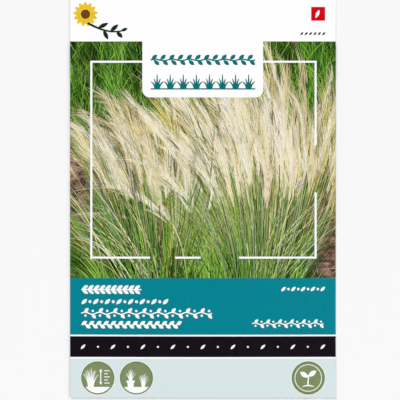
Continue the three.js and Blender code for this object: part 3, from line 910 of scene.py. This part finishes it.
class Field:
    """A heap of blades, each a thin ribbon on the paper. Ones with a greater depth lie over the others."""

    def __init__(self, name, low, high):
        self.name, self.low, self.high = name, low, high
        self.parts = []

    def blades(self, root, angle, length, bend, width, colour, depth, light=0.8, segs=8, curve=1.6, wobble=0.0, seed=0, taper=0.75,
               start=0.5, tint=0.0):
        """angle and bend in degrees from +Y towards +X; light from 0 to 1; arrays with one entry per blade.
        tint is how far along its run from root to tip colour a blade starts."""
        n = len(root)
        f = lambda v: np.broadcast_to(np.asarray(v, float), (n,))
        angle, length, bend, width, depth, light = map(f, (angle, length, bend, width, depth, light))
        colour = np.broadcast_to(np.asarray(colour, int), (n,))
        rng = np.random.default_rng(seed)
        t = np.linspace(0, 1, segs + 1)
        tm = (t[:-1] + t[1:]) / 2
        th = np.radians(angle)[:, None] + np.radians(bend)[:, None] * tm[None] ** curve
        if wobble:
            th = th + np.radians(wobble) * np.sin(2 * np.pi * (rng.uniform(0.5, 1.6, n)[:, None] * tm + rng.uniform(0, 1, n)[:, None]))
        step = length[:, None] / segs
        x = np.concatenate([root[:, :1], root[:, :1] + np.cumsum(np.sin(th) * step, 1)], 1)
        y = np.concatenate([root[:, 1:2], root[:, 1:2] + np.cumsum(np.cos(th) * step, 1)], 1)
        thv = np.concatenate([th[:, :1], (th[:, :-1] + th[:, 1:]) / 2, th[:, -1:]], 1)
        prof = (start + (1 - start) * np.minimum(1, t / 0.25)) * (1 - t) ** taper
        half = width[:, None] / 2 * prof[None] + 0.01
        nx, ny = np.cos(thv) * half, -np.sin(thv) * half
        left = np.stack([x - nx, y - ny], -1)
        right = np.stack([x + nx, y + ny], -1)
        v0 = (colour[:, None] + 0.3 + 0 * x) / ROWS
        v1 = (colour[:, None] + 0.7 + 0 * x) / ROWS
        tone = np.clip(light * 4, 0, 3.999).astype(int)
        u = (tone[:, None] + 0.03 + 0.94 * (tint + (1 - tint) * t[None])) / 4
        pts = np.stack([np.concatenate([left, np.stack([u, v0], -1)], -1), np.concatenate([right, np.stack([u, v1], -1)], -1)], 2)
        self.parts.append((pts, depth))
        return np.stack([x, y], -1), thv

    def finish(self):
        x0, x1, y0, y1 = BOX
        co, uv, off, loops, totals = [], [], [], [], []
        count = 0
        for pts, depth in self.parts:
            n, m = pts.shape[:2]
            z = self.low + (self.high - self.low) * np.clip(depth, 0, 1)
            ok = (pts[..., 0] > x0) & (pts[..., 0] < x1) & (pts[..., 1] > y0) & (pts[..., 1] < y1)
            # what the title tab covers is left out
            under = ((np.abs(pts[..., 0] + 0.12) < 23.4) & (pts[..., 1] > 44.0)).all(-1)
            hidden = under[:, :-1] & under[:, 1:]
            ok = ok.all(-1)
            quad_ok = ok[:, :-1] & ok[:, 1:] & ~hidden
            some = (pts[..., 0] > x0) & (pts[..., 0] < x1) & (pts[..., 1] > y0) & (pts[..., 1] < y1)
            some = some.any(-1)
            quad_any = (some[:, :-1] | some[:, 1:]) & ~hidden
            ids = np.arange(n * m * 2).reshape(n, m, 2)
            q = np.stack([ids[:, :-1, 0], ids[:, :-1, 1], ids[:, 1:, 1], ids[:, 1:, 0]], -1)
            kept = q[quad_ok]
            used = np.unique(kept)
            remap = -np.ones(n * m * 2, int)
            remap[used] = np.arange(len(used)) + count
            flat = pts.reshape(-1, 4)
            zz = np.repeat(z, m * 2)
            co.append(flat[used, :2])
            uv.append(flat[used, 2:])
            off.append(zz[used])
            loops.append(remap[kept].ravel())
            totals.append(np.full(len(kept), 4))
            count += len(used)
            # ribbons that cross the picture's edge are cut there
            cross = np.argwhere(quad_any & ~quad_ok)
            ec, eu, eo, el, et = [], [], [], [], []
            for i, j in cross:
                poly = [flat[k] for k in q[i, j]]
                for axis, lim, sign in ((0, x0, 1), (0, x1, -1), (1, y0, 1), (1, y1, -1)):
                    new = []
                    for a, b in zip(poly, poly[1:] + poly[:1]):
                        da, db = sign * (a[axis] - lim), sign * (b[axis] - lim)
                        if da >= 0:
                            new.append(a)
                        if (da >= 0) != (db >= 0):
                            s = da / (da - db)
                            new.append(a + (b - a) * s)
                    poly = new
                    if len(poly) < 3:
                        break
                if len(poly) < 3:
                    continue
                pa = np.array(poly)
                area = 0.5 * abs(np.dot(pa[:, 0], np.roll(pa[:, 1], -1)) - np.dot(pa[:, 1], np.roll(pa[:, 0], -1)))
                if area < 1e-4:
                    continue
                el += range(count, count + len(poly))
                et.append(len(poly))
                count += len(poly)
                ec += [p[:2] for p in poly]
                eu += [p[2:] for p in poly]
                eo += [z[i]] * len(poly)
            if et:
                co.append(np.array(ec))
                uv.append(np.array(eu))
                off.append(np.array(eo))
                loops.append(np.array(el))
                totals.append(np.array(et))
        co, uv, off = np.concatenate(co), np.concatenate(uv), np.concatenate(off)
        loops, totals = np.concatenate(loops), np.concatenate(totals)
        z = front_z(co[:, 0], co[:, 1]) + off
        # every ribbon's face looks up
        first = np.concatenate([[0], np.cumsum(totals)[:-1]])
        a, b, c = co[loops[first]], co[loops[first + 1]], co[loops[first + 2]]
        o = add_mesh(self.name, np.column_stack([co, z]), loops, totals, uv, [GRASS], None, True)
        down = np.cross(b - a, c - a) < 0
        if down.mean() > 0.5:
            o.data.flip_normals()
        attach(o, "root")
        total_faces[self.name] = int((totals - 2).sum())


def pick(rng, n, weights):
    keys = list(weights)
    p = np.array([weights[k] for k in keys], float)
    return rng.choice(keys, n, p=p / p.sum())


def spread(rng, n, x0, x1, y0, y1):
    return np.stack([rng.uniform(x0, x1, n), rng.uniform(y0, y1, n)], 1)


def tussock(field, seed, clumps, per, cx, cy, wide, lo, hi, fan, wind, mix, w=(0.26, 0.62), depth=(0.0, 1.0), reach=3.4,
            curve=1.7, tight=3.2, light=0.60, contrast=0.25, group=0.12):
    """Blades that rise from one crown in clumps and bow over with the wind. A clump is bright on its left side, dark on its right."""
    rng = np.random.default_rng(seed)
    cs = np.clip(rng.normal(0, 0.58, clumps), -1.3, 1.3)
    cl = rng.uniform(lo, hi, clumps) * (1 - 0.15 * np.abs(cs))
    cw = wind * rng.uniform(0.5, 1.5, clumps)
    cd = rng.random(clumps)
    cb = rng.normal(0, group, clumps)
    hue = pick(rng, clumps, mix)
    k = rng.integers(0, clumps, clumps * per)
    n = len(k)
    q = rng.normal(0, 1, n)
    s = cs[k] + 0.045 * q
    r = np.stack([cx + s * wide + rng.normal(0, 0.5, n), cy + rng.normal(0, 2.0, n)], 1)
    a = s * fan + q * tight * 0.7 + rng.normal(0, tight * 0.5, n)
    length = cl[k] * rng.uniform(0.70, 1.08, n)
    bend = s * fan * 0.7 + cw[k] + rng.normal(0, tight * 1.4, n)
    d = np.clip(0.60 * cd[k] + 0.40 * rng.random(n), 0, 1)
    col = np.where(rng.random(n) < 0.55, hue[k], pick(rng, n, mix))
    shine = light + cb[k] + contrast * (-0.75 * q + 0.60 * rng.normal(0, 1, n)) + 0.35 * (d - 0.5)
    d = depth[0] + (depth[1] - depth[0]) * d
    return field.blades(r, a, length, bend, rng.uniform(*w, n), col, d, np.clip(shine, 0, 1), max(4, int(hi / reach)), curve, 2.5,
                        seed + 1)


def plumes(field, seed, n, cx, cy, wide, lo, hi, fan, wind, locks, mix, depth=(0, 1), hair=(10, 24), w=(0.15, 0.30), part=6.5,
           light=0.74, contrast=0.30, per=5, foot=0.54):
    """Flowering stems: a fine culm, and from its upper half locks of awns that part a little and trail downwind."""
    rng = np.random.default_rng(seed)
    s = np.clip(rng.normal(0, 0.58, n), -1.3, 1.3)
    r = np.stack([cx + s * wide, cy + rng.normal(0, 2, n)], 1)
    length = rng.uniform(lo, hi, n)
    a = s * fan + rng.normal(0, 4, n)
    bend = s * fan * 0.6 + wind * rng.uniform(0.5, 1.5, n) + rng.normal(0, 6, n)
    d = rng.random(n)
    zd = depth[0] + (depth[1] - depth[0]) * d
    segs = max(8, int(hi / 4.5))
    path, th = field.blades(r, a, length, bend, rng.uniform(0.22, 0.38, n), pick(rng, n, {7: 2, 9: 3, 11: 3, 5: 1, 21: 2}), zd,
                            rng.uniform(0.4, 1, n), segs, 1.7, 0, seed + 2, 0.35)
    at_k = rng.integers(int(segs * foot), segs, (n, locks))
    frac = rng.random((n, locks))
    i = np.arange(n)[:, None]
    base = path[i, at_k] * (1 - frac[..., None]) + path[i, at_k + 1] * frac[..., None]
    q = rng.normal(0, 1, (n, locks))
    ang = np.degrees(th[i, at_k]) + part * q
    tone = pick(rng, n, mix)
    col = np.where(rng.random((n, locks)) < 0.60, tone[:, None], pick(rng, n * locks, mix).reshape(n, locks))
    shine = light + rng.normal(0, 0.07, n)[:, None] + contrast * (-0.6 * q + 0.8 * rng.normal(0, 1, (n, locks))) + 0.22 * (d - 0.5)[:, None]
    hd = zd[:, None] + (depth[1] - depth[0]) * 0.10 * (rng.random((n, locks)) - 0.3) + 0.03 * (shine - light)
    size = rng.uniform(*hair, (n, locks)) * (1.15 - 0.5 * (at_k - segs * foot) / (segs * (1 - foot)))
    turn = (np.sign(wind) if wind else 1) * rng.uniform(0, 40, (n, locks))
    m = n * locks * per
    each = lambda v: np.repeat(v.ravel(), per)
    root = np.repeat(base.reshape(-1, 2), per, 0) + rng.normal(0, 0.30, (m, 2))
    field.blades(root, each(ang) + rng.normal(0, 1.8, m), each(size) * rng.uniform(0.7, 1.1, m), each(turn) + rng.normal(0, 4, m),
                 rng.uniform(*w, m), each(col), each(hd) + 0.006 * rng.random(m), np.clip(each(shine) + rng.normal(0, 0.13, m), 0, 1),
                 6, 1.3, 1.5, seed + 3, 0.85, 0.4, 0.55)


def ears(field, seed, roots, height, lean, depth=0.9):
    """Soft oval ears on thin nodding stems."""
    rng = np.random.default_rng(seed)
    n = len(roots)
    roots = np.asarray(roots, float)
    height, lean = np.asarray(height, float), np.asarray(lean, float)
    path, th = field.blades(roots, lean * 0.2, height, lean, 0.42, pick(rng, n, {5: 2, 12: 3, 9: 1}), depth, 0.9, 10, 1.9, 0, seed + 1,
                            0.12, 0.9)
    tip, way = path[:, -1], th[:, -1]
    for k in range(n):
        m, size = 230, rng.uniform(6.0, 8.0)
        t = rng.random(m) ** 0.9
        ax = np.array([math.sin(way[k]), math.cos(way[k])])
        out = rng.uniform(-1, 1, m)
        over = rng.random(m)
        base = tip[k] + ax * (t * size * 0.74)[:, None]
        ang = math.degrees(way[k]) + out * (36 - 20 * t)
        ln = size * np.where(rng.random(m) < 0.25, 0.55, 0.34) * (1.1 - 0.45 * np.abs(t - 0.4))
        shine = np.clip(0.62 - 0.34 * out + 0.30 * over + rng.normal(0, 0.16, m), 0, 1)
        field.blades(base, ang, ln, out * 14, rng.uniform(0.14, 0.30, m), pick(rng, m, {14: 4, 13: 4, 12: 3, 16: 1}),
                     depth + 0.02 + 0.06 * over, shine, 3, 1.2, 0, seed + 5 + k, 0.8, 0.7, 0.35)


def dapple(x, y):
    """Light and shade in patches, -1 to 1."""
    return np.sin(0.16 * x + 0.11 * y + 0.6) * np.sin(0.07 * x - 0.19 * y + 2.1) + 0.5 * np.sin(0.31 * x + 0.05 * y + 4.0)


# far: a dim hedge, and behind it nothing but shade
far = Field("print_grass_far", 0.010, 0.019)
rng = np.random.default_rng(7)
n = 620
r = spread(rng, n, -62, 62, 26, 60)
far.blades(r, rng.normal(-4, 20, n), rng.uniform(8, 20, n), rng.normal(-6, 26, n), rng.uniform(0.9, 2.2, n),
           pick(rng, n, {0: 2, 1: 5, 2: 5, 3: 2, 8: 1.2}), rng.random(n) * 0.3,
           np.clip(rng.normal(0.52, 0.18, n) + 0.34 * dapple(*r.T) - 0.16 * smooth(48, 58, r[:, 1]), 0, 1), 6, 1.6, 0, 1)
n = 1900
r = spread(rng, n, -60, 60, 26, 62)
far.blades(r, rng.normal(-4, 20, n), rng.uniform(5, 17, n), rng.normal(-8, 30, n), rng.uniform(0.20, 0.52, n),
           pick(rng, n, {1: 4, 2: 5, 3: 6, 4: 5, 5: 1.5, 8: 1.2, 7: 0.6}), 0.3 + rng.random(n) * 0.4,
           np.clip(rng.normal(0.62, 0.22, n) + 0.30 * dapple(*r.T) + 0.14 * smooth(5, 40, r[:, 0]) - 0.26 * smooth(44, 56, r[:, 1]), 0, 1),
           5, 1.6, 0, 2)
BEHIND = {7: 3, 11: 3, 10: 2, 9: 1, 12: 2, 16: 1, 3: 4, 4: 3, 17: 1}
tussock(far, 31, 18, 22, 30, 0, 16, 24, 56, 22, -14, BEHIND, depth=(0.5, 1), light=0.58, contrast=0.34, group=0.2)
tussock(far, 32, 18, 24, -4, 2, 20, 24, 44, 18, -10, BEHIND, depth=(0.5, 1), light=0.58, contrast=0.34, group=0.2)
# dry litter on the bare soil
n = 330
r = np.concatenate([spread(rng, 110, -57, -44, -34, 20), spread(rng, 220, 36, 58, -34, 14)])
far.blades(r, rng.normal(70, 40, n) * rng.choice([-1, 1], n), rng.uniform(3, 11, n), rng.normal(0, 50, n), rng.uniform(0.16, 0.36, n),
           pick(rng, n, {16: 4, 19: 4, 18: 3, 15: 2, 20: 1, 10: 2}), 0.9 + 0.1 * rng.random(n), np.clip(rng.normal(0.55, 0.3, n), 0, 1),
           6, 1.0, 0, 3)
far.finish()

# two big tufts, both blown to the left, the right one the taller
mid = Field("print_grass_mid", 0.019, 0.032)
MIXED = {1: 1, 2: 4, 3: 6, 4: 5, 5: 3, 6: 1, 8: 1, 11: 4, 12: 4, 13: 3, 17: 2}
tussock(mid, 40, 42, 32, -18, -38, 13, 36, 66, 18, -13, MIXED, depth=(0, 0.9), light=0.50, contrast=0.44, group=0.22)
tussock(mid, 41, 48, 32, 20, -38, 14, 44, 88, 22, -18, MIXED, depth=(0.05, 1), light=0.58, contrast=0.44, group=0.22)
mid.finish()

plume_a = Field("print_plumes_back", 0.030, 0.040)
STRAW_MIX = {11: 4, 12: 6, 16: 2, 17: 2, 13: 5, 4: 0.7, 3: 0.7}
plumes(plume_a, 50, 54, -18, -36, 13, 52, 78, 17, -14, 8, STRAW_MIX, light=0.64, contrast=0.46, foot=0.62)
plumes(plume_a, 51, 122, 20, -36, 14, 54, 94, 22, -20, 8, STRAW_MIX, light=0.88, contrast=0.38, foot=0.58)
plume_a.finish()

near = Field("print_grass_near", 0.037, 0.048)
LOWER = {1: 2, 2: 5, 3: 7, 4: 7, 5: 3, 8: 1}
FRONT = {1: 1, 2: 5, 3: 6, 4: 5, 5: 2, 6: 1, 11: 2, 12: 2, 13: 2, 17: 2, 20: 0.4}
SHADE = {0: 3, 1: 6, 2: 4, 8: 3, 3: 1}
tussock(near, 58, 16, 24, -30, -40, 9, 26, 50, 26, -22, SHADE, (0.34, 0.80), (0.0, 0.35), light=0.42, contrast=0.42, group=0.2)
tussock(near, 59, 12, 24, 6, -40, 7, 22, 42, 22, -10, SHADE, (0.34, 0.80), (0.0, 0.35), light=0.42, contrast=0.42, group=0.2)
tussock(near, 60, 26, 22, -19, -40, 12, 26, 54, 26, -16, FRONT, depth=(0.1, 0.8), light=0.44, contrast=0.50, group=0.28)
tussock(near, 61, 26, 22, 20, -40, 12, 28, 62, 26, -16, FRONT, depth=(0.1, 0.8), light=0.54, contrast=0.50, group=0.28)
THROUGH = {1: 2, 2: 4, 3: 3, 7: 2, 8: 2}
tussock(near, 62, 15, 14, -20, -38, 12, 40, 66, 20, -15, THROUGH, (0.20, 0.44), (0.2, 0.9), light=0.46, contrast=0.46, group=0.2)
tussock(near, 63, 15, 14, 20, -38, 13, 44, 78, 22, -18, THROUGH, (0.20, 0.44), (0.2, 0.9), light=0.58, contrast=0.46, group=0.2)
for k, (cx, wide, hi, per) in enumerate(((-47, 6, 15, 12), (-32, 9, 30, 22), (-14, 10, 34, 26), (5, 11, 36, 30), (22, 9, 34, 24),
                                         (37, 6, 20, 10))):
    tussock(near, 70 + k, 22, per, cx, -44, wide, hi * 0.5, hi, 30, (-12, -4, -14, 2, -10, 8)[k], LOWER, (0.30, 0.76), (0.1, 0.9),
            3.4, 1.6, 6.0, (0.34, 0.38, 0.50, 0.62, 0.60, 0.54)[k], 0.50, 0.30)
# dark slits between the clumps, and long pale blades that arch out of the tufts
rng = np.random.default_rng(65)
n = 190
r = np.concatenate([spread(rng, 115, -34, -6, -44, -30), spread(rng, 75, 6, 34, -44, -30)])
out = (r[:, 0] - np.where(r[:, 0] < 0, -19, 20)) / 14
near.blades(r, out * 22 + rng.normal(0, 5, n), rng.uniform(12, 34, n), out * 16 + rng.normal(-8, 8, n), rng.uniform(0.40, 0.80, n),
            pick(rng, n, {0: 3, 1: 5, 2: 2, 8: 1}), rng.uniform(0.5, 0.95, n), rng.uniform(0.1, 0.6, n), 9, 1.6, 2.0, 64, 0.9, 0.2)
n = 44
r = np.concatenate([spread(rng, 24, -32, -14, -42, -34), spread(rng, 20, 18, 32, -42, -34)])
side = np.where(r[:, 0] < 0, -1, 1)
near.blades(r, side * rng.uniform(8, 36, n), rng.uniform(24, 52, n), side * rng.uniform(16, 62, n), rng.uniform(0.26, 0.42, n),
            pick(rng, n, {12: 4, 13: 4, 14: 1, 5: 3, 6: 2, 20: 1}), rng.uniform(0.85, 1.0, n), np.clip(rng.normal(0.9, 0.12, n), 0, 1),
            16, 1.5, 2.0, 67, 0.7, 0.6, 0.2)
near.finish()

plume_b = Field("print_plumes_front", 0.046, 0.056)
FLUFF = {13: 7, 14: 6, 15: 1, 12: 3, 20: 1}
plumes(plume_b, 80, 27, -18, -36, 12, 52, 76, 17, -15, 9, FLUFF, light=0.82, contrast=0.36, foot=0.62)
plumes(plume_b, 81, 66, 20, -36, 13, 56, 92, 22, -22, 9, FLUFF, light=1.05, contrast=0.32, foot=0.58)
THREADS = {7: 3, 2: 2, 3: 3, 10: 3, 21: 3, 17: 2, 8: 1}
plumes(plume_b, 82, 14, -18, -36, 12, 50, 74, 17, -15, 5, THREADS, (0.2, 1), (9, 20), (0.12, 0.24), 5, light=0.44, contrast=0.36, per=3,
       foot=0.60)
plumes(plume_b, 83, 26, 22, -36, 14, 52, 90, 22, -21, 5, THREADS, (0.2, 1), (9, 20), (0.12, 0.24), 5, light=0.44, contrast=0.36, per=3,
       foot=0.56)
ears(plume_b, 90, [(-40, -38), (-6, -38), (30, -36)], [42, 30, 40], [-38, -26, 22])
plume_b.finish()


# ---------------------------------------------------------------- the pieces inside
def dress(node, mat):
    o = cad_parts[node]
    o.data.materials.clear()
    o.data.materials.append(mat)


def glue_material():
    g = Graph("dried_adhesive", 0.35, 0.5)
    g.colour(g.ramp(g.noise(0.8, 3), [(0.3, lin(222, 210, 170)), (0.7, lin(240, 232, 204))]))
    g.gloss(g.noise(1.5, 2), 0.28, 0.45)
    return g.mat


def glassine_material():
    g = Graph("glassine", 0.3, 0.5)
    g.colour(g.ramp(g.noise(0.3, 5, 0.6, (1, 0.6, 1)), [(0.3, lin(228, 223, 208)), (0.7, lin(243, 240, 230))]))
    g.gloss(g.noise(1.0, 2), 0.24, 0.36)
    g.bump(g.noise(0.8, 4, 0.6), 0.25, 0.00005)
    return g.mat


def seed_material():
    g = Graph("seed_husk", 0.7, 0.3)
    g.colour(g.ramp(g.noise(2.4, 4, 0.6, (1, 1, 1)), [(0.3, lin(104, 76, 40)), (0.5, lin(150, 116, 68)), (0.72, lin(190, 160, 106))]))
    g.gloss(g.noise(3.0, 2), 0.6, 0.8)
    return g.mat


GLUE, GLASSINE, HUSK = glue_material(), glassine_material(), seed_material()
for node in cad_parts:
    if node.endswith("_glue"):
        dress(node, GLUE)
    elif node == "inner_sachet":
        dress(node, GLASSINE)
    elif node.startswith("seed_"):
        dress(node, HUSK)

# ---------------------------------------------------------------- floor
floor_g = Graph("studio_floor", 0.9, 0.1)
floor_g.colour(floor_g.ramp(floor_g.noise(0.002, 2), [(0.3, (0.898, 0.900, 0.902, 1)), (0.7, (0.910, 0.911, 0.912, 1))]))
s = 6000
floor = add_mesh("floor", [(-s, -s, -0.06), (s, -s, -0.06), (s, s, -0.06), (-s, s, -0.06)], [0, 1, 2, 3], [4], None, [floor_g.mat])
